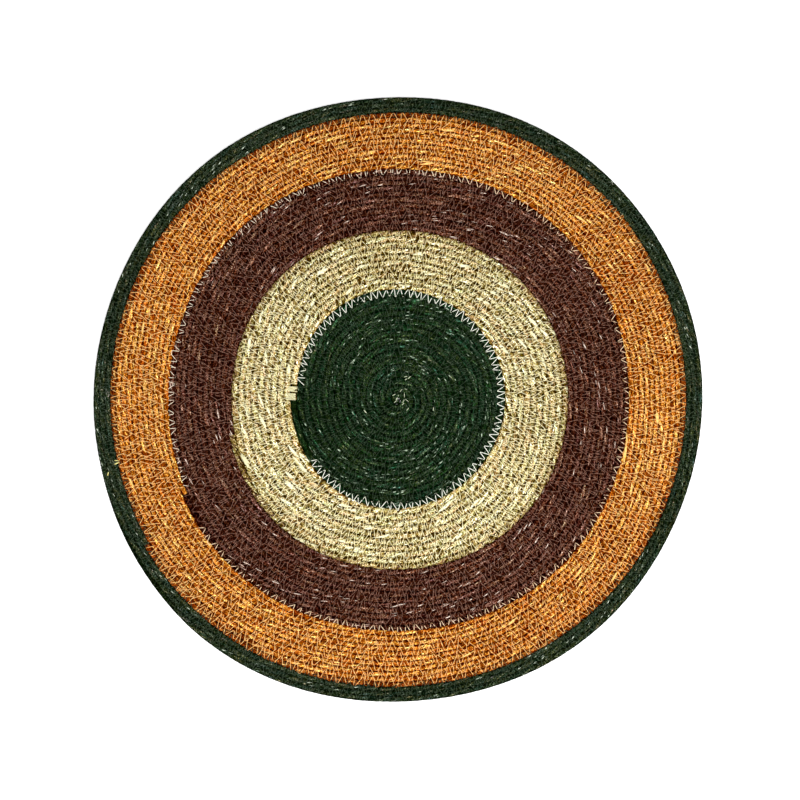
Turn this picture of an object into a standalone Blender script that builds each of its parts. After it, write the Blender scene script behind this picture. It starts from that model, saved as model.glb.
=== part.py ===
"""A round coiled placemat: five dyed lengths of cord sewn turn against turn into one flat spiral.

The cord starts in the middle and runs clockwise, seen from above. Each dyed length is one solid:
its turns are raised ridges on a flat base, and its two ends and two long sides meet its
neighbours with a small gap. +Z is up, the underside is at z = 0, and the origin is the centre
of the mat's box.
"""

import math
from collections import namedtuple

import bpy

STEPS_PER_TURN = 60
STEP_ANGLE = 2 * math.pi / STEPS_PER_TURN

# Each dyed length of cord, from the middle outwards: its turns and steps past them, the cord's
# width, the depth of the groove between two turns, and its colour and roughness
Length = namedtuple("Length", "name turns extra_steps width groove colour roughness")
LENGTHS = (
    Length("centre_coil", 16, 0, 0.00407, 0.0013, (0.022, 0.033, 0.020), 0.80),
    Length("straw_band", 10, -2, 0.00395, 0.0012, (0.60, 0.47, 0.24), 0.75),
    Length("brown_band", 11, -2, 0.00352, 0.0011, (0.065, 0.036, 0.027), 0.80),
    Length("orange_band", 11, -1, 0.00321, 0.0010, (0.50, 0.20, 0.038), 0.75),
    Length("rim_coil", 3, 3, 0.00331, 0.0010, (0.022, 0.033, 0.024), 0.80),
)
START_ANGLE = math.radians(180)

# The ridges start after the first turn, outside a low cap. The cap's middle point lies a share of
# the cord's width back from the coil's centre, so that it sees every side of the cap
CENTRE_TURNS = 1
CENTRE_POINT_SHARE = 0.3

# The last stretch of the rim thins out and is tucked against the turn inside it
TAPER_STEPS = 6
TAPER_END_SHARE = 0.15

# Half of the gap between two lengths of cord
HALF_GAP = 0.00015

# How the sewn coil wanders from a true spiral at each length's outer side: the number of waves
# round the mat, their height, and the angle of one crest, anticlockwise from +X
Wave = namedtuple("Wave", "outside_of count height crest")
WAVES = (
    Wave("centre_coil", 1, 0.0017, 75),
    Wave("centre_coil", 2, 0.0012, 93),
    Wave("centre_coil", 3, 0.0008, 4),
    Wave("straw_band", 1, 0.0007, 69),
    Wave("straw_band", 3, 0.0003, 112),
    Wave("straw_band", 4, 0.0005, 42),
    Wave("brown_band", 1, 0.0007, 87),
    Wave("brown_band", 2, 0.0004, 31),
    Wave("brown_band", 4, 0.0009, 41),
    Wave("orange_band", 1, 0.0009, 114),
    Wave("orange_band", 2, 0.0008, 22),
    Wave("orange_band", 4, 0.0005, 54),
    Wave("rim_coil", 1, 0.0011, 117),
    Wave("rim_coil", 2, 0.0010, 22),
    Wave("rim_coil", 4, 0.0006, 45),
    Wave("rim_coil", 6, 0.0004, 4),
)


def steps_of(length):
    return length.turns * STEPS_PER_TURN + length.extra_steps


def first_steps():
    """The step at which each length starts, counted along the whole coil, and the last one's end."""
    starts = [0]
    for length in LENGTHS:
        starts.append(starts[-1] + steps_of(length))
    return starts


STARTS = first_steps()
LAST_STEP = STARTS[-1]


def even_radii():
    """The radius of the groove inside each step of the coil, before the coil's unevenness."""
    radii = [0.0]
    for length in LENGTHS:
        for _ in range(steps_of(length)):
            radii.append(radii[-1] + length.width / STEPS_PER_TURN)
    for _ in range(STEPS_PER_TURN):
        radii.append(radii[-1] + LENGTHS[-1].width / STEPS_PER_TURN)
    taper_from = LAST_STEP + STEPS_PER_TURN - TAPER_STEPS
    inner = radii[LAST_STEP] + TAPER_END_SHARE * LENGTHS[-1].width
    outer = radii[taper_from]
    for step in range(TAPER_STEPS + 1):
        radii[taper_from + step] = outer + (inner - outer) * step / TAPER_STEPS
    return radii


EVEN_RADII = even_radii()
EDGE_RADII = [EVEN_RADII[start] for start in STARTS]


def angle_of(step):
    return START_ANGLE - step * STEP_ANGLE


def edge_wander(name, angle):
    """How far the outer side of one length stands out from the true spiral."""
    waves = [wave for wave in WAVES if wave.outside_of == name]
    return sum(w.height * math.cos(w.count * (angle - math.radians(w.crest))) for w in waves)


def wander(radius, angle):
    """The unevenness at any radius, shared out between the two nearest edges."""
    for index, length in enumerate(LENGTHS):
        inner, outer = EDGE_RADII[index], EDGE_RADII[index + 1]
        if radius <= outer or index == len(LENGTHS) - 1:
            share = min(1.0, (radius - inner) / (outer - inner))
            inside = edge_wander(LENGTHS[index - 1].name, angle) if index else 0.0
            return inside * (1 - share) + edge_wander(length.name, angle) * share


def uneven_point(step, offset=0.0, along=0.0):
    """A point of the groove inside a step, moved out by offset and on along the cord."""
    angle = angle_of(step)
    radius = EVEN_RADII[step]
    radius += wander(radius, angle) + offset
    angle -= along / max(radius, LENGTHS[0].width)
    return radius * math.cos(angle), radius * math.sin(angle)


def box_middle():
    """The middle of the mat's outline, which becomes the origin."""
    outline = [uneven_point(step, -HALF_GAP) for step in range(LAST_STEP, LAST_STEP + STEPS_PER_TURN + 1)]
    xs, ys = zip(*outline)
    return (min(xs) + max(xs)) / 2, (min(ys) + max(ys)) / 2


MIDDLE = box_middle()


class Coil:
    """The closed mesh of one length: ridged turns above, upright sides and a flat underside."""

    def __init__(self, index):
        self.length = LENGTHS[index]
        self.first = STARTS[index]
        self.last = STARTS[index + 1]
        self.is_centre = index == 0
        if self.is_centre:
            self.first += CENTRE_TURNS * STEPS_PER_TURN
        self.crest_height = self.length.width
        self.groove_height = self.length.width - self.length.groove
        self.points = []
        self.faces = []
        self.add_grooves()
        self.add_crests()
        self.add_top()
        self.add_outer_side()
        self.add_end_face()
        if self.is_centre:
            self.add_cap_and_base()
        else:
            self.add_inner_side()
            self.add_start_face()
            self.add_ring_base()

    def add_point(self, flat_point, height):
        self.points.append((flat_point[0] - MIDDLE[0], flat_point[1] - MIDDLE[1], height))
        return len(self.points) - 1

    def plan_point(self, step):
        """A groove point in plan, moved half a gap off each neighbouring length."""
        turn = STEPS_PER_TURN
        offset = along = 0.0
        if not self.is_centre and step <= self.first + turn:
            offset = HALF_GAP
        if step >= self.last:
            offset = -HALF_GAP
        if not self.is_centre and step in (self.first, self.first + turn):
            along = HALF_GAP
        if step in (self.last, self.last + turn):
            along = -HALF_GAP
        return uneven_point(step, offset, along)

    def add_grooves(self):
        self.groove = {}
        self.base = {}
        for step in range(self.first, self.last + STEPS_PER_TURN + 1):
            place = self.plan_point(step)
            self.groove[step] = self.add_point(place, self.groove_height)
            on_inner_side = step <= self.first + STEPS_PER_TURN and not self.is_centre
            if on_inner_side or step >= self.last:
                self.base[step] = self.add_point(place, 0.0)

    def add_crests(self):
        self.crest = {}
        for step in range(self.first, self.last + 1):
            inner = self.plan_point(step)
            outer = self.plan_point(step + STEPS_PER_TURN)
            middle = ((inner[0] + outer[0]) / 2, (inner[1] + outer[1]) / 2)
            self.crest[step] = self.add_point(middle, self.crest_height)

    def add_top(self):
        groove, crest, turn = self.groove, self.crest, STEPS_PER_TURN
        for step in range(self.first, self.last):
            self.faces.append((groove[step], groove[step + 1], crest[step + 1], crest[step]))
            self.faces.append((crest[step], crest[step + 1], groove[step + 1 + turn], groove[step + turn]))

    def add_outer_side(self):
        for step in range(self.last, self.last + STEPS_PER_TURN):
            face = (self.groove[step], self.groove[step + 1], self.base[step + 1], self.base[step])
            self.faces.append(face)

    def add_inner_side(self):
        for step in range(self.first, self.first + STEPS_PER_TURN):
            face = (self.base[step], self.base[step + 1], self.groove[step + 1], self.groove[step])
            self.faces.append(face)

    def butt_end(self, step):
        """The cord's cross-section at a step, from its inner foot over the crest to its outer foot."""
        outer = step + STEPS_PER_TURN
        return (self.base[step], self.groove[step], self.crest[step], self.groove[outer], self.base[outer])

    def add_start_face(self):
        self.faces.append(self.butt_end(self.first))

    def add_end_face(self):
        self.faces.append(tuple(reversed(self.butt_end(self.last))))

    def add_cap_and_base(self):
        """The middle: a low cap over the cord's folded start, and a round flat underside."""
        reach = CENTRE_POINT_SHARE * self.length.width
        back = START_ANGLE + math.radians(90)
        centre = (reach * math.cos(back), reach * math.sin(back))
        top = self.add_point(centre, self.crest_height)
        under = self.add_point(centre, 0.0)
        rim = [self.groove[self.first + step] for step in range(STEPS_PER_TURN + 1)]
        rim.append(self.crest[self.first])
        for here, following in zip(rim, rim[1:] + rim[:1]):
            self.faces.append((top, following, here))
        foot = [self.base[self.last + step] for step in range(STEPS_PER_TURN + 1)]
        for here, following in zip(foot, foot[1:] + foot[:1]):
            self.faces.append((under, here, following))

    def add_ring_base(self):
        """The flat underside between the inner and the outer side, sector by sector."""
        turn = STEPS_PER_TURN
        for sector in range(turn):
            before = self.base_chain(self.first + sector, closing=False)
            after = self.base_chain(self.first + sector + 1, closing=True)
            self.faces.extend(self.strip(before, after))

    def base_chain(self, step, closing):
        """The underside's points on one ray, outwards, for the sector that starts or closes there."""
        turn = STEPS_PER_TURN
        chain = [self.base[step]]
        if step == self.first and not closing:
            chain.append(self.base[step + turn])
        past_end = (step - self.last) % turn
        if past_end == 0:
            chain.append(self.base[self.last])
            if closing:
                chain.append(self.base[self.last + turn])
        else:
            chain.append(self.base[self.last + past_end])
        return chain

    def strip(self, before, after):
        """Triangles between two rays, facing down, always stepping out on the shorter side."""
        faces = []
        i = j = 0
        while i < len(before) - 1 or j < len(after) - 1:
            step_before = j == len(after) - 1
            if i < len(before) - 1 and j < len(after) - 1:
                step_before = self.reach(before[i + 1]) < self.reach(after[j + 1])
            if step_before:
                faces.append((before[i], before[i + 1], after[j]))
                i += 1
            else:
                faces.append((before[i], after[j + 1], after[j]))
                j += 1
        return faces

    def reach(self, point):
        x, y, _ = self.points[point]
        return math.hypot(x + MIDDLE[0], y + MIDDLE[1])


def dyed_cord(length):
    """The plain material of one dyed length."""
    material = bpy.data.materials.new(length.name)
    material.use_nodes = True
    shader = material.node_tree.nodes["Principled BSDF"]
    shader.inputs["Base Color"].default_value = (*length.colour, 1.0)
    shader.inputs["Roughness"].default_value = length.roughness
    shader.inputs["Metallic"].default_value = 0.0
    return material


def build_length(index):
    coil = Coil(index)
    mesh = bpy.data.meshes.new(coil.length.name)
    mesh.from_pydata(coil.points, [], coil.faces)
    mesh.validate()
    mesh.materials.append(dyed_cord(coil.length))
    piece = bpy.data.objects.new(coil.length.name, mesh)
    bpy.context.scene.collection.objects.link(piece)


for old in list(bpy.data.objects):
    bpy.data.objects.remove(old, do_unlink=True)
for number in range(len(LENGTHS)):
    build_length(number)
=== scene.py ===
import math

import bpy
import numpy as np
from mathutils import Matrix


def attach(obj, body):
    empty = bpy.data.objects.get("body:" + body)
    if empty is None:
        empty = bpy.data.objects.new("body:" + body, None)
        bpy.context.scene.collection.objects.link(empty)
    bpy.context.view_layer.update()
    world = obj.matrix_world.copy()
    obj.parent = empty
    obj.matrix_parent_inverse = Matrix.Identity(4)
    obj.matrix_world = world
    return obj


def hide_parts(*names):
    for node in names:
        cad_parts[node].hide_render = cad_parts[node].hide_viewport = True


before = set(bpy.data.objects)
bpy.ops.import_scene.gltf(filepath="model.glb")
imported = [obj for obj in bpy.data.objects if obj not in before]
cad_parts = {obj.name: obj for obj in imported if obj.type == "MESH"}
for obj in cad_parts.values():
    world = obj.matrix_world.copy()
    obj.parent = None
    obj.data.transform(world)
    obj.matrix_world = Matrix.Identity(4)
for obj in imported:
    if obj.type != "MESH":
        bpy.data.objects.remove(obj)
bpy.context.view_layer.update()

# The green middle: one length of grass cord, two strands laid together with a left-hand twist, dyed
# bottle green and coiled flat, clockwise from its folded start. A zigzag seam in green thread joins
# each turn to the one inside it, on both faces.

# The coil's law: the turns that each dyed length makes and the width of its cord, middle outwards
turns_made = np.array([16, 10 - 2 / 60, 11 - 2 / 60, 11 - 1 / 60, 3 + 3 / 60])
cord_widths = np.array([0.00407, 0.00395, 0.00352, 0.00321, 0.00331])
green_end, straw_end, brown_end, orange_end, rim_end = np.cumsum(turns_made)
join_turns = np.concatenate(([0.0], np.cumsum(turns_made)))
join_radii = np.concatenate(([0.0], np.cumsum(turns_made * cord_widths)))

# The rim's last stretch thins out: its length in turns, and the share of the width at its end
taper_turns = 0.1
taper_share = 0.15
groove_turns = [*join_turns, rim_end + 1 - taper_turns, rim_end + 1]
groove_reach = [
    *join_radii,
    join_radii[-1] + (1 - taper_turns) * cord_widths[-1],
    join_radii[-1] + taper_share * cord_widths[-1],
]

# How the sewn coil wanders from a true spiral at each length's outer side, numbered from the
# middle: the waves round the mat, their height, and the angle of a crest, anticlockwise from +X
coil_waves = (
    # edge, count, height, crest
    (1, 1, 0.0017, 75),
    (1, 2, 0.0012, 93),
    (1, 3, 0.0008, 4),
    (2, 1, 0.0007, 69),
    (2, 3, 0.0003, 112),
    (2, 4, 0.0005, 42),
    (3, 1, 0.0007, 87),
    (3, 2, 0.0004, 31),
    (3, 4, 0.0009, 41),
    (4, 1, 0.0009, 114),
    (4, 2, 0.0008, 22),
    (4, 4, 0.0005, 54),
    (5, 1, 0.0011, 117),
    (5, 2, 0.0010, 22),
    (5, 4, 0.0006, 45),
    (5, 6, 0.0004, 4),
)


def angle_at(turn):
    """The coil starts at the left and runs clockwise, seen from above."""
    return math.pi - 2 * math.pi * turn


def groove_radius(turn):
    """The radius of the groove inside each of these turns, with the coil's unevenness."""
    even = np.interp(turn, groove_turns, groove_reach)
    angle = angle_at(turn)
    swell = np.zeros((len(join_radii), len(turn)))
    for edge, count, height, crest in coil_waves:
        swell[edge] += height * np.cos(count * (angle - math.radians(crest)))
    band = np.clip(np.searchsorted(join_radii, even) - 1, 0, len(cord_widths) - 1)
    share = np.minimum(1.0, (even - join_radii[band]) / (join_radii[band + 1] - join_radii[band]))
    every = np.arange(len(turn))
    return even + swell[band, every] * (1 - share) + swell[band + 1, every] * share


# The mat's outline is its last turn, a hair inside the outermost groove, and the middle of the
# outline's box is the origin
half_gap = 0.00015
outline_turns = rim_end + np.linspace(0, 1, 61)
outline_radii = groove_radius(outline_turns) - half_gap
outline = outline_radii * np.array([np.cos(angle_at(outline_turns)), np.sin(angle_at(outline_turns))])
mat_middle = (outline.min(axis=1) + outline.max(axis=1)) / 2


def in_plan(turn, radius):
    """Points of the coil, seen from above, with the middle of the mat's box at the origin."""
    angle = angle_at(turn)
    return np.stack([radius * np.cos(angle), radius * np.sin(angle)], axis=1) - mat_middle


def run_along(points):
    """The distance from the first point to each point, along them."""
    return np.concatenate(([0.0], np.cumsum(np.linalg.norm(np.diff(points, axis=0), axis=1))))


def drift(dice, run, spacing, spread):
    """A value that changes slowly and at random along a run."""
    knots = int(run[-1] / spacing) + 2
    return np.interp(run, np.arange(knots) * spacing, dice.uniform(-spread, spread, knots))


def skinned(name, tubes, material):
    """One mesh of closed tubes, each through its rings of points. Its map holds metres along the tube
    and turns round it, and turned is how far that map is turned back at each ring."""
    points = []
    faces = []
    maps = []
    first = 0
    for rings, run, turned in tubes:
        count, around = rings.shape[:2]
        here = first + np.arange(count - 1)[:, None] * around
        side = np.arange(around)[None, :]
        after = (side + 1) % around
        quads = np.stack([here + side, here + after, here + around + after, here + around + side], axis=-1)
        low = np.broadcast_to(run[:-1, None], quads.shape[:2])
        high = np.broadcast_to(run[1:, None], quads.shape[:2])
        near = side / around + turned[:-1, None]
        far = side / around + turned[1:, None]
        step = 1 / around
        corners = np.stack([low, near, low, near + step, high, far + step, high, far], axis=-1)
        points.append(rings.reshape(-1, 3))
        faces.extend(quads.reshape(-1, 4).tolist())
        faces.append(list(range(first + around - 1, first - 1, -1)))
        last = first + (count - 1) * around
        faces.append(list(range(last, last + around)))
        maps.append(corners.reshape(-1))
        maps.append(np.tile([run[0], 0.5], around))
        maps.append(np.tile([run[-1], 0.5], around))
        first += count * around
    mesh = bpy.data.meshes.new(name)
    mesh.from_pydata(np.concatenate(points), [], faces)
    layer = mesh.uv_layers.new(name="lay")
    layer.data.foreach_set("uv", np.concatenate(maps).astype(np.float32))
    mesh.shade_smooth()
    mesh.materials.append(material)
    piece = bpy.data.objects.new(name, mesh)
    bpy.context.scene.collection.objects.link(piece)
    return piece


# The cord: it is flatter than it is wide, its turns are pressed into each other at their sides, and
# it rests on the thread under it. A strand goes once round in so many cord widths, and the section
# dips between the two strands. A drift is the distance over which a value changes, and how far it
# strays
cord_flatness = 0.87
squeeze = 1.14
dip_at_sides = 0.3
cord_rest = 0.00035
points_a_turn = 1500
ring_spacing = 0.0017
lay_in_widths = 7.0
lay_drift = (0.05, 0.12)
two_strands = np.array([1.0, 0.975, 0.86, 0.975, 1.0, 0.975, 0.86, 0.975])
plump = 0.97
plump_drift = (0.007, 0.05)
plumpest = 1.01


def coiled_cord(name, first, last, seed, material, undone=0.5, least=0.0):
    """The cord between two turns of the coil, as a twisted tube of two strands with a least height. Each
    strand was first twisted the other way, which undoes this share of the lay in its blades."""
    dice = np.random.default_rng(seed)
    turns = np.linspace(first, last, int((last - first) * points_a_turn))
    middle = in_plan(turns, (groove_radius(turns) + groove_radius(turns + 1)) / 2)
    length = run_along(middle)
    run = np.linspace(0, length[-1], int(length[-1] / ring_spacing))
    turn = np.interp(run, length, turns)
    inner = groove_radius(turn)
    outer = groove_radius(turn + 1)
    centre = in_plan(turn, (inner + outer) / 2)
    half_width = (outer - inner) / 2
    half_height = np.maximum(half_width, least / 2) * cord_flatness
    ahead = np.gradient(centre, axis=0)
    ahead /= np.linalg.norm(ahead, axis=1)[:, None]
    outward = np.stack([-ahead[:, 1], ahead[:, 0]], axis=1)
    lay = lay_in_widths * 2 * half_width * (1 + drift(dice, run, *lay_drift))
    twist = dice.uniform(0, 2 * math.pi) - 2 * math.pi * np.cumsum(ring_spacing / lay)
    around = len(two_strands)
    angle = twist[:, None] + np.arange(around) * 2 * math.pi / around
    first_strand = plump + drift(dice, run, *plump_drift)
    second_strand = plump + drift(dice, run, *plump_drift)
    of_first = (np.arange(around) + around // 4) % around < around // 2 + 1
    thickness = np.where(of_first[None, :], first_strand[:, None], second_strand[:, None])
    size = two_strands[None, :] * np.minimum(thickness, plumpest)
    aside = half_width[:, None] * squeeze * (1 - dip_at_sides * (1 - size)) * np.cos(angle)
    above = half_height[:, None] * size * np.sin(angle)
    rings = np.empty((len(run), around, 3))
    rings[:, :, :2] = centre[:, None, :] + outward[:, None, :] * aside[:, :, None]
    rings[:, :, 2] = cord_rest + half_height[:, None] + above
    return skinned(name, [(rings, run, undone * twist / (2 * math.pi))], material)


def add_node(tree, kind, settings=None, **values):
    """A shader node with its settings, and with values or links on its named sockets."""
    node = tree.nodes.new(kind)
    for setting, value in (settings or {}).items():
        setattr(node, setting, value)
    for socket_name, value in values.items():
        socket = node.inputs[socket_name.replace("_", " ")]
        if isinstance(value, bpy.types.NodeSocket):
            tree.links.new(value, socket)
        else:
            socket.default_value = value
    return node


def add_ramp(tree, value, stops):
    """A colour ramp on a value. Each stop is its place and its colour."""
    node = tree.nodes.new("ShaderNodeValToRGB")
    tree.links.new(value, node.inputs["Fac"])
    ramp = node.color_ramp
    while len(ramp.elements) < len(stops):
        ramp.elements.new(0.5)
    for element, (place, colour) in zip(ramp.elements, stops):
        element.position = place
        element.color = (*colour, 1.0)
    return node.outputs["Color"]


def add_mix(tree, way, share, under, over):
    """One colour laid over another."""
    node = tree.nodes.new("ShaderNodeMix")
    node.data_type = "RGBA"
    node.blend_type = way
    for socket, value in ((node.inputs[0], share), (node.inputs[6], under), (node.inputs[7], over)):
        if isinstance(value, bpy.types.NodeSocket):
            tree.links.new(value, socket)
        elif socket == node.inputs[0]:
            socket.default_value = value
        else:
            socket.default_value = (*value, 1.0)
    return node.outputs[2]


def along_strands(tree, along, around, offset=0.0):
    """A place on the cord in which so many steps make a metre, and so many go round it."""
    place = add_node(tree, "ShaderNodeUVMap", {"uv_map": "lay"}).outputs["UV"]
    mapped = add_node(
        tree,
        "ShaderNodeMapping",
        Vector=place,
        Scale=(along, around, 1.0),
        Location=(offset, offset, offset),
    )
    return mapped.outputs["Vector"]


def strand_noise(tree, along, around, detail, offset=0.0):
    """Noise drawn out along the strands."""
    noise = add_node(
        tree,
        "ShaderNodeTexNoise",
        Vector=along_strands(tree, along, around, offset),
        Scale=1.0,
        Detail=detail,
        Roughness=0.6,
    )
    return noise.outputs["Fac"]


def blade_cells(tree, feature, blade_length, blades_around):
    """The blades of grass in a strand, as long cells: each has its own random value."""
    return add_node(
        tree,
        "ShaderNodeTexVoronoi",
        {"voronoi_dimensions": "2D", "feature": feature},
        Vector=along_strands(tree, 1 / blade_length, blades_around),
        Scale=1.0,
    )


def change_range(tree, value, low, high, to_low=0.0, to_high=1.0):
    """A value's range moved to another, with a soft start and end."""
    node = add_node(
        tree,
        "ShaderNodeMapRange",
        {"interpolation_type": "SMOOTHSTEP"},
        Value=value,
        From_Min=low,
        From_Max=high,
        To_Min=to_low,
        To_Max=to_high,
    )
    return node.outputs["Result"]


def add_math(tree, operation, first, second=0.0):
    """Arithmetic on two values."""
    node = tree.nodes.new("ShaderNodeMath")
    node.operation = operation
    for socket, value in zip(node.inputs, (first, second)):
        if isinstance(value, bpy.types.NodeSocket):
            tree.links.new(value, socket)
        else:
            socket.default_value = value
    return node.outputs["Value"]


def depth_share(tree, width):
    """How far a point lies above or below the middle of the cord, as a share of half its height."""
    place = add_node(tree, "ShaderNodeTexCoord").outputs["Object"]
    height = add_node(tree, "ShaderNodeSeparateXYZ", Vector=place).outputs["Z"]
    half = width / 2 * cord_flatness
    from_middle = add_math(tree, "ABSOLUTE", add_math(tree, "SUBTRACT", height, cord_rest + half))
    return add_math(tree, "DIVIDE", from_middle, half)


def grass_material(
    name,
    width,
    blades,
    hues,
    patches,
    blade_size,
    fibre_size,
    fleck_size,
    fleck,
    fleck_from,
    deep,
    contrast,
    net,
    groove_shade=(0.52, 0.82),
    uneven=(-0.15, 0.35),
):
    """Dyed grass: each blade has its own shade and hue, patches took up more or less dye, fine fibres and
    veins run along the blades, fibre ends speckle it lighter and darker, partly as painted glints, short
    hairs cross them as a net, a few blades stayed pale, and painted shade darkens it between the blades
    and between the turns. A size is a length in metres and a number round the cord."""
    material = bpy.data.materials.new(name)
    material.use_nodes = True
    tree = material.node_tree
    shader = tree.nodes["Principled BSDF"]
    blade = add_node(
        tree, "ShaderNodeSeparateColor", Color=blade_cells(tree, "F1", *blade_size).outputs["Color"]
    )
    fibre = add_node(
        tree, "ShaderNodeSeparateColor", Color=blade_cells(tree, "F1", *fibre_size).outputs["Color"]
    )
    spot = add_node(
        tree, "ShaderNodeSeparateColor", Color=blade_cells(tree, "F1", *fleck_size).outputs["Color"]
    )
    edge = blade_cells(tree, "DISTANCE_TO_EDGE", *blade_size).outputs["Distance"]
    veins = strand_noise(tree, along=500.0, around=24.0, detail=3.0, offset=7.0)
    dye = strand_noise(tree, along=45.0, around=2.0, detail=1.0, offset=3.0)
    place = add_node(tree, "ShaderNodeTexCoord").outputs["Object"]
    # Fibre ends speckle the grass lighter and darker, and the bright specks are partly painted glints
    ends_and_glints = add_node(tree, "ShaderNodeTexNoise", Vector=place, Scale=1500.0, Detail=0.0)
    hairs = add_node(
        tree,
        "ShaderNodeTexVoronoi",
        {"voronoi_dimensions": "2D", "feature": "DISTANCE_TO_EDGE"},
        Vector=place,
        Scale=620.0,
    )
    hair_reach = 0.3
    near_hair = add_math(tree, "SUBTRACT", hair_reach, hairs.outputs["Distance"])
    colour = add_ramp(tree, blade.outputs["Red"], blades)
    colour = add_mix(tree, "MULTIPLY", 1.0, colour, add_ramp(tree, blade.outputs["Blue"], hues))
    colour = add_mix(tree, "MULTIPLY", 1.0, colour, add_ramp(tree, dye, patches))

    # What is dark is also deeper in colour, and what is pale is greyer
    shaded = [channel**0.45 for channel in deep]
    middling = (0.88, 0.88, 0.88)
    paler = 0.75
    greyer = 0.35
    for value, low, high, strength in (
        (veins, 0.37, 0.63, 1.0),
        (fibre.outputs["Red"], 0.0, 1.0, 1.0),
        (ends_and_glints.outputs["Fac"], 0.30, 0.70, 1.5),
        (near_hair, 0.04, hair_reach, net),
    ):
        dark = [channel ** (strength * contrast) for channel in deep]
        pale = [1 + strength * (paler * contrast + greyer * (1 - channel)) for channel in shaded]
        tint = add_ramp(tree, value, ((low, dark), ((low + high) / 2, middling), (high, pale)))
        colour = add_mix(tree, "MULTIPLY", 1.0, colour, tint)
    # Painted shade in the creases between the blades, darker towards each blade's edge
    blade_crease_shade = add_ramp(tree, edge, ((0.0, shaded), (0.12, (1.0, 1.0, 1.0))))
    colour = add_mix(tree, "MULTIPLY", 1.0, colour, blade_crease_shade)

    # Blades that took no dye lie in groups
    group = strand_noise(tree, along=9.0, around=0.6, detail=0.0, offset=29.0)
    group = change_range(tree, group, 0.35, 0.65, to_low=-0.05, to_high=0.03)
    undyed = add_math(tree, "ADD", spot.outputs["Green"], group)
    undyed = change_range(tree, undyed, fleck_from, fleck_from + 0.01)
    colour = add_mix(tree, "MIX", undyed, colour, fleck)

    # Painted shade in the grooves between the turns: down the cord's sides, near its middle height, the
    # colour goes to the deep one, and where that starts wanders along the cord
    shade_wander = strand_noise(tree, along=330.0, around=5.0, detail=1.0, offset=17.0)
    shade_wander = change_range(tree, shade_wander, 0.35, 0.65, *uneven)
    share = add_math(tree, "ADD", depth_share(tree, width), shade_wander)
    painted_groove_shade = add_ramp(tree, share, ((groove_shade[0], deep), (groove_shade[1], (1.0, 1.0, 1.0))))
    colour = add_mix(tree, "MULTIPLY", 1.0, colour, painted_groove_shade)
    tree.links.new(colour, shader.inputs["Base Color"])
    shader.inputs["Roughness"].default_value = 0.8
    shader.inputs["Specular IOR Level"].default_value = 0.0
    rounded = change_range(tree, edge, 0.0, 0.25)
    bump = add_node(tree, "ShaderNodeBump", Height=rounded, Strength=0.7, Distance=0.0003)
    bump = add_node(
        tree, "ShaderNodeBump", Height=veins, Strength=0.5, Distance=0.0003, Normal=bump.outputs["Normal"]
    )
    tree.links.new(bump.outputs["Normal"], shader.inputs["Normal"])
    return material


def cord_length(band):
    """The length of the cord in one of the dyed bands, numbered from the middle."""
    return math.pi * (join_radii[band + 1] ** 2 - join_radii[band] ** 2) / cord_widths[band]


def tint_stretch(material, start, whole, tint):
    """A stretch of another colour: not yet at one distance along the cord or thread, and wholly from
    the other distance on, whichever comes first."""
    tree = material.node_tree
    shader = tree.nodes["Principled BSDF"]
    colour = shader.inputs["Base Color"].links[0].from_socket
    place = add_node(tree, "ShaderNodeUVMap", {"uv_map": "lay"}).outputs["UV"]
    along = add_node(tree, "ShaderNodeSeparateXYZ", Vector=place).outputs["X"]
    share = change_range(tree, along, start, whole)
    colour = add_mix(tree, "MULTIPLY", share, colour, tint)
    tree.links.new(colour, shader.inputs["Base Color"])


# The seam: the thread is pulled into the crests of the cords that it crosses, dips between them to
# this share of their height, and at the end of each swing it goes down and comes up a little further
# on. A swing that ends near a groove goes down into it, and none reaches past the mat's edge
thread_sits = 0.00004
thread_sinks = -0.00010
cord_roundness = 0.95
groove_dip = 0.80
in_groove = 0.001
groove_depth = 0.25
short_of_tip = 0.0003
short_of_edge = 0.0003
shortest_swing = 0.0001
three_sides = np.radians([30, 150, 270])

# No two stitches are alike: how far the tips and the swings scatter and how far at most, how the
# stitch, its lean and the seam's line drift, and how hard the thread is pulled in
tip_scatter = 0.2
most_tip_scatter = 0.7
swing_scatter = 0.13
swing_limits = (-0.5, 0.28)
stitch_drift = (0.15, 0.14)
lean_drift = (0.03, 0.5)
line_drift = (0.06, 0.0005)
pull_scatter = 0.00005
pull_limits = (-0.00018, 0.00004)


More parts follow.
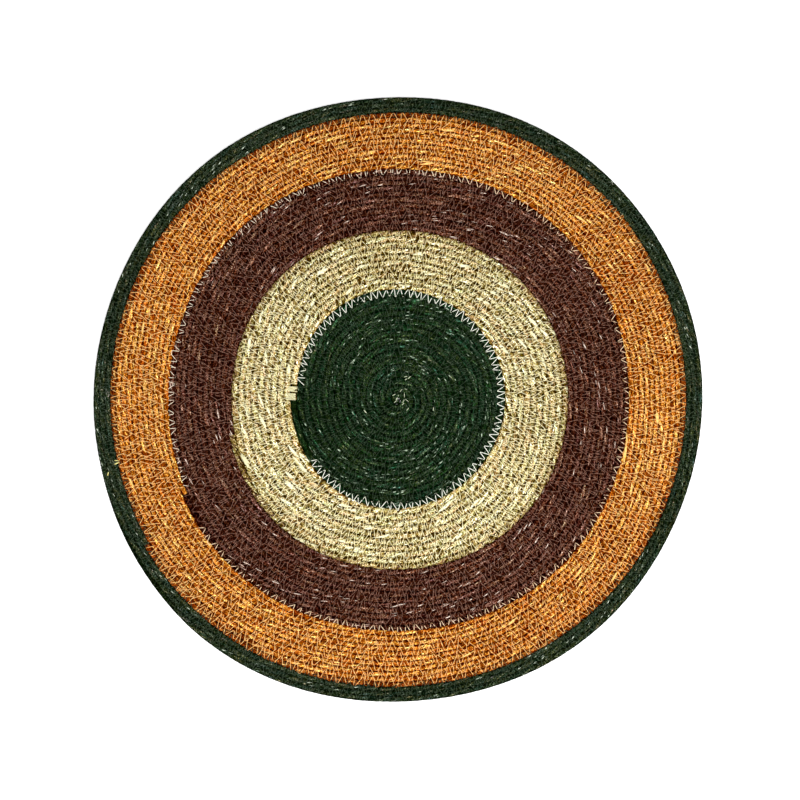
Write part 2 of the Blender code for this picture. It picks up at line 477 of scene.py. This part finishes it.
def seam_face(dice, first, last, shift, up, swing, stitch, inner_loop, outer_loop, half_thread, uneven):
    """The zigzag on one face as one tube: for each swing two points on the crests, one in the groove
    on the upper face, and a short loop at the needle's hole. The shift moves it outwards from the
    groove. It swings this far to each side, and a stitch is two swings."""
    turns = np.linspace(first, last, int((last - first) * points_a_turn))
    length = run_along(in_plan(turns, groove_radius(turns)))
    half = stitch / 2
    even = np.arange(0, length[-1], half)
    tips = np.cumsum(half * (1 + drift(dice, even, *stitch_drift)))
    tips = tips[tips < length[-1]]
    scatter = dice.normal(0, tip_scatter * uneven, len(tips))
    tips = tips + scatter.clip(-most_tip_scatter, most_tip_scatter) * half
    lean = drift(dice, tips, *lean_drift) * half
    tips[::2] += lean[::2]
    tips = np.sort(tips)
    side = np.where(np.arange(len(tips)) % 2, 1.0, -1.0)
    scatter = dice.normal(0, swing_scatter * uneven, len(tips))
    reach = swing * (1 + scatter.clip(*swing_limits)) * side + shift
    reach += drift(dice, tips, *line_drift)
    turn = np.interp(tips, length, turns)
    to_edge = groove_radius(turn + 1) - groove_radius(turn) - short_of_edge
    reach = np.where(turn > rim_end - 1, np.minimum(reach, to_edge), reach)
    half_loop = np.where(side < 0, inner_loop, outer_loop) / 2
    start = tips[:-1] + half_loop[:-1]
    stop = np.maximum(tips[1:] - half_loop[1:], start + shortest_swing)
    turn = np.interp((start + stop) / 2, length, turns)
    width_in = groove_radius(turn) - groove_radius(np.maximum(turn - 1, 0))
    width_out = groove_radius(turn + 1) - groove_radius(turn)
    outward = side[:-1] < 0
    lowest = np.minimum(reach[:-1], reach[1:]) + short_of_tip
    highest = np.maximum(reach[:-1], reach[1:]) - short_of_tip
    near = np.where(outward, -width_in / 2, width_out / 2).clip(lowest, highest)
    far = np.where(outward, width_out / 2, -width_in / 2).clip(lowest, highest)
    middle = np.zeros(len(near)).clip(lowest, highest)
    crossings = [(reach[:-1], True), (near, False), (far, False), (reach[1:], True)]
    if up > 0:
        crossings.insert(2, (middle, False))
    places = []
    heights = []
    for offset, sunk in crossings:
        width = np.where(offset < 0, width_in, width_out)
        share = (offset - reach[:-1]) / (reach[1:] - reach[:-1])
        run = start + (stop - start) * share.clip(0, 1)
        half_height = width / 2 * cord_flatness
        across = (np.abs(offset) % width - width / 2) / (width / 2)
        rise = half_height * np.sqrt(1 - (cord_roundness * across) ** 2)
        pulled_in = dice.normal(0, pull_scatter * uneven, len(width)).clip(*pull_limits)
        rise += np.where(sunk, thread_sinks, thread_sits + pulled_in)
        rise = np.where(offset == 0, half_height * groove_dip, rise)
        buried = sunk & (np.abs(offset) < in_groove)
        rise = np.where(buried, half_height * groove_depth, rise)
        here = np.interp(run, length, turns)
        places.append(in_plan(here, groove_radius(here) + offset))
        heights.append(cord_rest + half_height + up * rise)
    path = np.stack([np.column_stack([p, h]) for p, h in zip(places, heights)], axis=1).reshape(-1, 3)
    ahead = np.empty_like(path)
    ahead[1:-1] = path[2:] - path[:-2]
    ahead[0] = path[1] - path[0]
    ahead[-1] = path[-1] - path[-2]
    ahead /= np.linalg.norm(ahead, axis=1)[:, None]
    aside = np.cross([0.0, 0.0, up], ahead)
    aside /= np.linalg.norm(aside, axis=1)[:, None]
    above = np.cross(ahead, aside)
    rings = path[:, None, :] + half_thread * (
        aside[:, None, :] * np.cos(three_sides)[None, :, None]
        + above[:, None, :] * np.sin(three_sides)[None, :, None]
    )
    return rings, run_along(path), np.zeros(len(path))


def sewn_seam(name, first, last, sewing, seed, material, shift=0.0):
    """The seam along the grooves between two turns of the coil, on both faces. The sewing holds the
    swing, the stitch, the loops on the inner side and on the outer one, half the thread's thickness
    and how uneven it is."""
    dice = np.random.default_rng(seed)
    faces = [seam_face(dice, first, last, shift, up, **sewing) for up in (1.0, -1.0)]
    return skinned(name, faces, material)


def strand_material(name, width, pale, deep, shade, shine):
    """Spun thread or one bare blade of grass: fine plies, a colour that varies along it, and painted
    shade, a deeper colour, where it goes down between cords of this width."""
    material = bpy.data.materials.new(name)
    material.use_nodes = True
    tree = material.node_tree
    shader = tree.nodes["Principled BSDF"]
    tone = strand_noise(tree, along=900.0, around=0.5, detail=1.0)
    colour = add_ramp(tree, tone, ((0.36, deep), (0.60, pale)))
    # Painted shade where the thread goes down between the cords
    shade_tint = add_ramp(tree, depth_share(tree, width), ((0.60, shade), (0.98, (1.0, 1.0, 1.0))))
    colour = add_mix(tree, "MULTIPLY", 1.0, colour, shade_tint)
    tree.links.new(colour, shader.inputs["Base Color"])
    shader.inputs["Roughness"].default_value = 0.6
    shader.inputs["Specular IOR Level"].default_value = shine
    plies = strand_noise(tree, along=2500.0, around=2.0, detail=0.0, offset=5.0)
    bump = add_node(tree, "ShaderNodeBump", Height=plies, Strength=0.3, Distance=0.0001)
    tree.links.new(bump.outputs["Normal"], shader.inputs["Normal"])
    return material


green_grass = grass_material(
    "green_grass",
    cord_widths[0],
    blade_size=(0.0042, 14.0),
    fibre_size=(0.0016, 26.0),
    fleck_size=(0.0017, 32.0),
    blades=(
        (0.0, (0.006, 0.015, 0.004)),
        (0.5, (0.014, 0.029, 0.011)),
        (0.85, (0.036, 0.060, 0.031)),
        (1.0, (0.130, 0.180, 0.118)),
    ),
    hues=(
        (0.0, (0.52, 1.12, 0.86)),
        (0.4, (1.00, 1.00, 1.00)),
        (0.7, (1.12, 1.02, 0.80)),
        (1.0, (1.35, 1.00, 1.25)),
    ),
    patches=((0.38, (0.60, 0.82, 1.02)), (0.62, (1.25, 1.12, 0.92))),
    fleck=(0.50, 0.62, 0.46),
    fleck_from=0.989,
    deep=(0.10, 0.22, 0.07),
    contrast=0.45,
    net=1.0,
)

# The green's outermost turn is a little darker than the rest
green_length = cord_length(0)
tint_stretch(green_grass, green_length - 0.42, green_length - 0.38, (0.70, 0.72, 0.72))

green_thread = strand_material(
    "green_thread",
    cord_widths[0],
    pale=(0.048, 0.072, 0.044),
    deep=(0.006, 0.014, 0.005),
    shade=(0.35, 0.50, 0.35),
    shine=0.02,
)

# The cord starts as a small fold in the middle, nearly as high as the rest, before its first turn
fold_start = -0.9
fold_height = 0.9 * cord_widths[0]
first_stitch = 1.02
centre_cord = coiled_cord(
    "green_middle_cord", fold_start, green_end, seed=11, material=green_grass, least=fold_height
)
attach(centre_cord, "root")
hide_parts("centre_coil")

green_sewing = {
    "swing": 0.0029,
    "stitch": 0.0050,
    "inner_loop": 0.0010,
    "outer_loop": 0.0010,
    "half_thread": 0.00022,
    "uneven": 1.3,
}
centre_seam = sewn_seam("green_middle_seam", first_stitch, green_end, green_sewing, 12, green_thread)
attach(centre_seam, "root")

# Where the cord was folded to start the coil, pale ends of grass stick out of the sewing
crest_height = 0.0040
blade_arch = 0.08
blade_taper = 0.75
blade_flatness = 0.4


def loose_blades(name, blades, crest, material):
    """Ends of grass on the mat: where each starts, which way it lies, its length and its width."""
    tubes = []
    along = np.linspace(0, 1, 7)
    for right, up, degrees, length, width in blades:
        angle = math.radians(degrees)
        heading = np.array([math.cos(angle), math.sin(angle), 0.0])
        aside = np.array([-math.sin(angle), math.cos(angle), 0.0])
        path = np.array([right, up, crest]) + heading * length * along[:, None]
        path[:, 2] += blade_arch * length * np.sin(math.pi * along)
        half = width / 2 * (1 - blade_taper * along**3)
        upward = np.array([0.0, 0.0, blade_flatness])
        corners = [aside, upward, -aside, -upward]
        rings = np.stack([path + half[:, None] * corner for corner in corners], axis=1)
        tubes.append((rings, run_along(path), np.zeros(len(path))))
    return skinned(name, tubes, material)


pale_blade = strand_material(
    "pale_blade",
    cord_widths[0],
    pale=(0.95, 0.95, 0.72),
    deep=(0.45, 0.56, 0.34),
    shade=(0.6, 0.6, 0.6),
    shine=0.1,
)
frayed_start = loose_blades(
    "frayed_start",
    (
        # right, up, degrees, length, width
        (-0.0011, -0.0002, 62, 0.0016, 0.0008),
        (-0.0024, -0.0020, 40, 0.0022, 0.0004),
        (-0.0034, 0.0024, 28, 0.0022, 0.0004),
        (0.0000, 0.0020, 62, 0.0010, 0.0004),
        (0.0040, 0.0014, 92, 0.0030, 0.0003),
        (0.0042, 0.0066, -12, 0.0016, 0.0003),
        (0.0012, 0.0048, 48, 0.0022, 0.0003),
        (0.0030, -0.0020, 66, 0.0024, 0.0003),
        (0.0046, 0.0002, -38, 0.0028, 0.0003),
        (0.0024, -0.0034, 40, 0.0020, 0.0004),
        (0.0054, -0.0068, 48, 0.0020, 0.0004),
        (0.0038, 0.0140, 12, 0.0020, 0.0004),
        (0.0044, 0.0122, 30, 0.0016, 0.0005),
        (0.0064, 0.0130, 44, 0.0020, 0.0005),
        (0.0220, -0.0070, 88, 0.0022, 0.0005),
        (-0.0212, -0.0066, -50, 0.0024, 0.0006),
    ),
    crest_height,
    pale_blade,
)
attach(frayed_start, "root")


straw_grass = grass_material(
    "straw_grass",
    cord_widths[1],
    blade_size=(0.0085, 9.0),
    fibre_size=(0.0026, 20.0),
    fleck_size=(0.0095, 8.0),
    blades=(
        (0.0, (0.38, 0.29, 0.125)),
        (0.45, (0.64, 0.54, 0.300)),
        (0.70, (0.92, 0.82, 0.52)),
        (0.86, (1.0, 0.99, 0.76)),
    ),
    hues=((0.0, (0.92, 1.00, 0.97)), (0.6, (1.00, 1.00, 1.04)), (1.0, (1.10, 0.95, 1.00))),
    patches=((0.38, (1.0, 0.90, 0.84)), (0.62, (0.98, 1.04, 1.04))),
    fleck=(0.97, 0.97, 0.68),
    fleck_from=0.94,
    deep=(0.115, 0.070, 0.003),
    contrast=0.30,
    net=0.8,
    groove_shade=(0.40, 0.62),
    uneven=(-0.45, 0.40),
)

# Its first turn is paler, its start is darkened with painted shadow from the join's stitches, and its end
# is darker
straw_length = cord_length(1)
tint_stretch(straw_grass, 0.48, 0.42, (1.22, 1.24, 1.28))
tint_stretch(straw_grass, 0.0100, 0.0092, (0.12, 0.09, 0.03))
tint_stretch(straw_grass, straw_length - 0.70, straw_length - 0.60, (0.80, 0.76, 0.66))

cream_thread = strand_material(
    "cream_thread",
    cord_widths[1],
    pale=(1.0, 0.95, 0.63),
    deep=(0.92, 0.79, 0.42),
    shade=(0.50, 0.39, 0.15),
    shine=0.02,
)

straw_cord = coiled_cord(
    "straw_cord", green_end, straw_end, seed=21, material=straw_grass, undone=0.25
)
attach(straw_cord, "root")
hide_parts("straw_band")

straw_sewing = {
    "swing": 0.0028,
    "stitch": 0.0047,
    "inner_loop": 0.0006,
    "outer_loop": 0.0009,
    "half_thread": 0.00020,
    "uneven": 1.4,
}
straw_seam = sewn_seam("straw_seam", green_end + 1, straw_end, straw_sewing, 22, cream_thread)
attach(straw_seam, "root")

# The first turn's seam lies further in, and its thread shows clear and white on the green
first_straw_sewing = {
    "swing": 0.0024,
    "stitch": 0.0050,
    "inner_loop": 0.0004,
    "outer_loop": 0.0004,
    "half_thread": 0.00021,
    "uneven": 1.1,
}
first_straw_shift = -0.0020
blocks_end = green_end + 0.0215
clear_cream_thread = strand_material(
    "clear_cream_thread",
    cord_widths[1],
    pale=(1.0, 1.0, 0.90),
    deep=(0.95, 0.98, 0.82),
    shade=(0.85, 0.85, 0.72),
    shine=0.02,
)
first_straw_seam = sewn_seam(
    "straw_first_seam",
    blocks_end,
    green_end + 1,
    first_straw_sewing,
    25,
    clear_cream_thread,
    first_straw_shift,
)
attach(first_straw_seam, "root")

# The stitches over the join lie close together in two blocks, set outwards from the groove
tack_sewing = {
    "swing": 0.0030,
    "stitch": 0.0011,
    "inner_loop": 0.0004,
    "outer_loop": 0.0004,
    "half_thread": 0.00026,
    "uneven": 0.5,
}
tack_thread = strand_material(
    "tack_thread",
    cord_widths[1],
    pale=(0.84, 0.80, 0.50),
    deep=(0.64, 0.58, 0.30),
    shade=(0.60, 0.50, 0.30),
    shine=0.02,
)
tack_blocks = (
    # start, stop, shift, seed
    (-0.0018, 0.0109, 0.0035, 23),
    (0.0108, 0.0204, 0.0029, 24),
)
for number, (start, stop, shift, seed) in enumerate(tack_blocks, 1):
    tack_seam = sewn_seam(
        "straw_tack_" + str(number),
        green_end + start,
        green_end + stop,
        tack_sewing,
        seed,
        tack_thread,
        shift,
    )
    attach(tack_seam, "root")

# The brown band: grass cord dyed dark brown, with a few blades that stayed pale, and sewn in thread
# of a lighter brown.
brown_grass = grass_material(
    "brown_grass",
    cord_widths[2],
    blade_size=(0.0070, 9.0),
    fibre_size=(0.0016, 24.0),
    fleck_size=(0.0034, 28.0),
    blades=(
        (0.0, (0.042, 0.011, 0.004)),
        (0.45, (0.074, 0.026, 0.013)),
        (0.85, (0.150, 0.075, 0.049)),
        (1.0, (0.360, 0.235, 0.170)),
    ),
    hues=(
        (0.0, (1.06, 0.92, 0.88)),
        (0.4, (1.00, 1.00, 1.00)),
        (0.7, (0.93, 1.10, 0.95)),
        (1.0, (1.00, 0.93, 1.18)),
    ),
    patches=((0.38, (0.72, 0.58, 0.66)), (0.62, (1.26, 1.22, 1.12))),
    fleck=(0.90, 0.74, 0.62),
    fleck_from=0.996,
    deep=(0.13, 0.022, 0.003),
    contrast=0.37,
    net=1.7,
)

# Its outermost turn is darker, with painted shade at the border with the orange band
brown_length = cord_length(2)
tint_stretch(brown_grass, brown_length - 0.92, brown_length - 0.86, (0.78, 0.68, 0.64))

brown_thread = strand_material(
    "brown_thread",
    cord_widths[2],
    pale=(0.31, 0.170, 0.125),
    deep=(0.10, 0.040, 0.024),
    shade=(0.38, 0.18, 0.11),
    shine=0.02,
)

brown_cord = coiled_cord("brown_cord", straw_end, brown_end, seed=31, material=brown_grass)
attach(brown_cord, "root")
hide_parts("brown_band")

brown_sewing = {
    "swing": 0.0029,
    "stitch": 0.0056,
    "inner_loop": 0.0010,
    "outer_loop": 0.0010,
    "half_thread": 0.00017,
    "uneven": 2.0,
}
brown_seam = sewn_seam("brown_seam", straw_end, brown_end, brown_sewing, 32, brown_thread)
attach(brown_seam, "root")

# The orange band: the thinnest cord, dyed mustard orange with redder and yellower patches, and sewn
# in peach-coloured thread.
orange_grass = grass_material(
    "orange_grass",
    cord_widths[3],
    blade_size=(0.0080, 9.0),
    fibre_size=(0.0024, 19.0),
    fleck_size=(0.0065, 11.0),
    blades=(
        (0.0, (0.31, 0.074, 0.001)),
        (0.45, (0.55, 0.206, 0.020)),
        (0.8, (0.96, 0.490, 0.088)),
        (1.0, (1.00, 0.76, 0.240)),
    ),
    hues=((0.0, (1.04, 0.82, 0.70)), (0.4, (1.00, 1.00, 1.00)), (1.0, (0.95, 1.08, 1.20))),
    patches=((0.36, (0.95, 0.78, 0.70)), (0.5, (1.0, 1.0, 1.0)), (0.64, (1.05, 1.14, 1.25))),
    fleck=(1.0, 0.66, 0.20),
    fleck_from=0.988,
    deep=(0.14, 0.020, 0.0002),
    contrast=0.31,
    net=0.8,
    groove_shade=(0.53, 0.87),
)

# Its outermost turn is darker and redder
orange_length = cord_length(3)
tint_stretch(orange_grass, orange_length - 1.16, orange_length - 1.08, (0.56, 0.44, 0.45))

peach_thread = strand_material(
    "peach_thread",
    cord_widths[3],
    pale=(1.0, 0.66, 0.28),
    deep=(0.92, 0.41, 0.09),
    shade=(0.50, 0.17, 0.01),
    shine=0.02,
)

orange_cord = coiled_cord("orange_cord", brown_end, orange_end, seed=41, material=orange_grass)
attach(orange_cord, "root")
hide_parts("orange_band")

orange_sewing = {
    "swing": 0.0028,
    "stitch": 0.0060,
    "inner_loop": 0.0010,
    "outer_loop": 0.0012,
    "half_thread": 0.00019,
    "uneven": 1.0,
}
orange_seam = sewn_seam("orange_seam", brown_end + 1, orange_end, orange_sewing, 42, peach_thread)
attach(orange_seam, "root")

# The first turn's seam shows paler on the brown, and goes down into the groove at the orange's edge.
# Its thread is nearly white at first and peach further on
clear_peach_thread = strand_material(
    "clear_peach_thread",
    cord_widths[3],
    pale=(1.0, 0.90, 0.73),
    deep=(0.96, 0.77, 0.56),
    shade=(0.70, 0.54, 0.42),
    shine=0.02,
)
tint_stretch(clear_peach_thread, 0.60, 0.75, (1.0, 0.88, 0.74))
first_orange_sewing = {
    "swing": 0.0018,
    "stitch": 0.0060,
    "inner_loop": 0.0009,
    "outer_loop": 0.0024,
    "half_thread": 0.00019,
    "uneven": 1.0,
}
first_orange_shift = -0.0014
first_orange_seam = sewn_seam(
    "orange_first_seam",
    brown_end,
    brown_end + 1,
    first_orange_sewing,
    43,
    clear_peach_thread,
    first_orange_shift,
)
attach(first_orange_seam, "root")

# Two undyed ends stick out at the orange's outer edge, on the left, and one lies on the rim there
orange_crest_height = 0.0033
yellow_blade = strand_material(
    "yellow_blade",
    cord_widths[3],
    pale=(0.95, 0.90, 0.36),
    deep=(0.62, 0.52, 0.16),
    shade=(0.7, 0.6, 0.4),
    shine=0.1,
)
orange_tuft = loose_blades(
    "orange_tuft",
    (
        # right, up, degrees, length, width
        (-0.1768, -0.0380, -4, 0.0032, 0.0006),
        (-0.1767, -0.0404, 24, 0.0034, 0.0009),
        (-0.1810, -0.0474, 75, 0.0024, 0.0008),
    ),
    orange_crest_height,
    yellow_blade,
)
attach(orange_tuft, "root")

# The rim: three more turns of the bottle-green cord, thinned out at the end and tucked in against
# the turn inside it, and sewn in green thread.
rim_grass = grass_material(
    "rim_grass",
    cord_widths[4],
    blade_size=(0.0050, 12.0),
    fibre_size=(0.0018, 22.0),
    fleck_size=(0.0019, 24.0),
    blades=(
        (0.0, (0.013, 0.020, 0.008)),
        (0.5, (0.026, 0.035, 0.017)),
        (0.85, (0.056, 0.066, 0.042)),
        (1.0, (0.120, 0.130, 0.090)),
    ),
    hues=(
        (0.0, (0.70, 0.98, 1.10)),
        (0.4, (1.00, 1.00, 1.00)),
        (0.7, (1.12, 1.02, 0.85)),
        (1.0, (1.30, 1.00, 1.20)),
    ),
    patches=((0.38, (0.65, 0.82, 1.05)), (0.62, (1.28, 1.13, 0.95))),
    fleck=(0.52, 0.58, 0.46),
    fleck_from=0.995,
    deep=(0.12, 0.21, 0.07),
    contrast=0.48,
    net=1.4,
)

rim_cord = coiled_cord("rim_cord", orange_end, rim_end, seed=51, material=rim_grass)
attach(rim_cord, "root")
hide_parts("rim_coil")

rim_thread = strand_material(
    "rim_thread",
    cord_widths[4],
    pale=(0.060, 0.082, 0.052),
    deep=(0.008, 0.015, 0.006),
    shade=(0.45, 0.55, 0.40),
    shine=0.02,
)
rim_sewing = {
    "swing": 0.0029,
    "stitch": 0.0060,
    "inner_loop": 0.0010,
    "outer_loop": 0.0010,
    "half_thread": 0.00022,
    "uneven": 1.3,
}
rim_seam = sewn_seam("rim_seam", orange_end, rim_end, rim_sewing, 52, rim_thread)
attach(rim_seam, "root")

# The studio: a plain near-white floor that is lit a little from below, so that no shadow lies on it,
# even light from all round, one large soft lamp at the lower right, and a camera straight above.
bpy.ops.object.select_all(action="DESELECT")
bpy.ops.mesh.primitive_plane_add(size=24.0, location=(0.0, 0.0, 0.0))
floor = bpy.context.object
floor.name = "floor"
floor_finish = bpy.data.materials.new("floor_finish")
floor_finish.use_nodes = True
floor_shader = floor_finish.node_tree.nodes["Principled BSDF"]
floor_shader.inputs["Base Color"].default_value = (0.95, 0.95, 0.95, 1.0)
floor_shader.inputs["Roughness"].default_value = 0.9
floor_shader.inputs["Emission Color"].default_value = (1.0, 1.0, 1.0, 1.0)
floor_shader.inputs["Emission Strength"].default_value = 0.35
floor.data.materials.append(floor_finish)

sky = bpy.data.worlds.new("soft_light")
sky.use_nodes = True
sky.node_tree.nodes["Background"].inputs["Color"].default_value = (1.0, 1.0, 1.0, 1.0)
sky.node_tree.nodes["Background"].inputs["Strength"].default_value = 0.85
bpy.context.scene.world = sky

lamp_data = bpy.data.lights.new("lamp", "AREA")
lamp_data.shape = "DISK"
lamp_data.size = 0.6
lamp_data.energy = 10.7
lamp = bpy.data.objects.new("lamp", lamp_data)
lamp.location = (0.30, -0.50, 1.0)
lamp.rotation_euler = lamp.location.to_track_quat("Z", "Y").to_euler()
bpy.context.scene.collection.objects.link(lamp)

# The photograph's frame is 800 pixels of 0.625 mm, and the mat's middle lies at this pixel
pixel = 0.38 / 608
frame_side = 800
middle_pixel = (398.0, 399.5)
lens = 85.0
sensor = 36.0
camera_data = bpy.data.cameras.new("camera")
camera_data.lens = lens
camera_data.sensor_width = sensor
camera = bpy.data.objects.new("camera", camera_data)
camera.location = (
    (frame_side / 2 - middle_pixel[0]) * pixel,
    (middle_pixel[1] - frame_side / 2) * pixel,
    frame_side * pixel * lens / sensor,
)
bpy.context.scene.collection.objects.link(camera)
bpy.context.scene.camera = camera
bpy.context.scene.view_settings.view_transform = "Standard"
